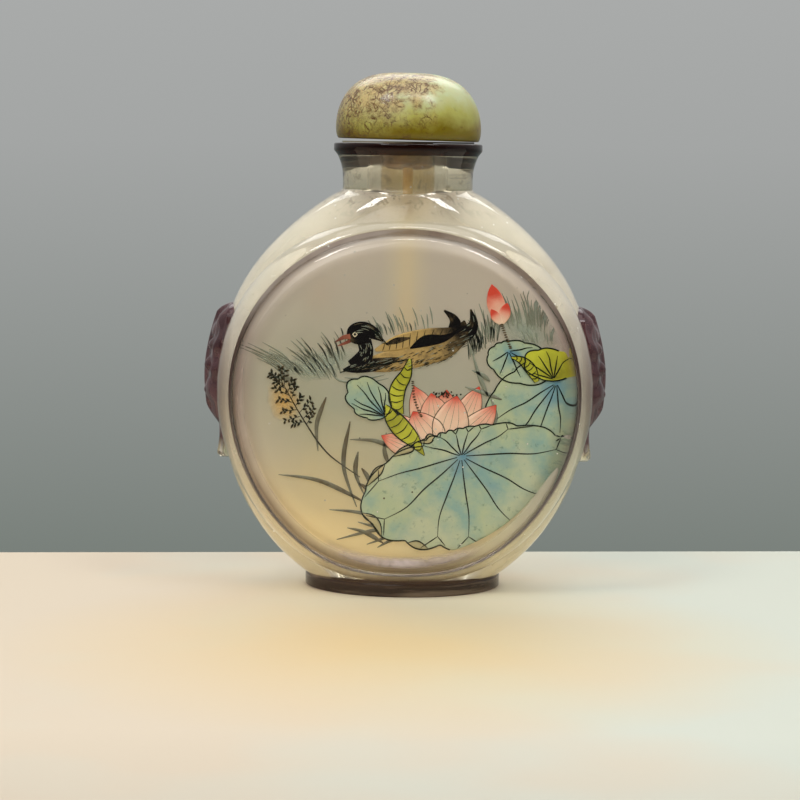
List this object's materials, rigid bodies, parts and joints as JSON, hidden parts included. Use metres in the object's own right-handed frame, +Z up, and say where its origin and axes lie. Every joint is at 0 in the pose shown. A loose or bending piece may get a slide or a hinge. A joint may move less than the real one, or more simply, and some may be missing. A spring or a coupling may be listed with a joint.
{
  "type": "snuff bottle",
  "caption": "Flattened round glass snuff bottle with raised round panels, mask handles on its narrow sides, an oval foot, and a lift-off domed stopper with a small spoon.",
  "frame": {"origin": "middle of the foot's underside, the plane that the bottle stands on", "axes": "+Z up along the neck, +X through the mask handles, the painted front panel faces -Y"},
  "size_m": [0.0546, 0.0256, 0.0696],
  "materials": {
    "glass": "polished smoky glass, frosted inside, purple overlay on the lip, foot and handles",
    "green_stone": null,
    "cork": "dry cork",
    "bone": null,
    "paint": "thin water colours on the inner wall"
  },
  "bodies": {
    "root": {"bottle": "glass", "stopper_cap": "green_stone", "stopper_plug": "cork", "spoon": "bone"}
  },
  "joints": []
}
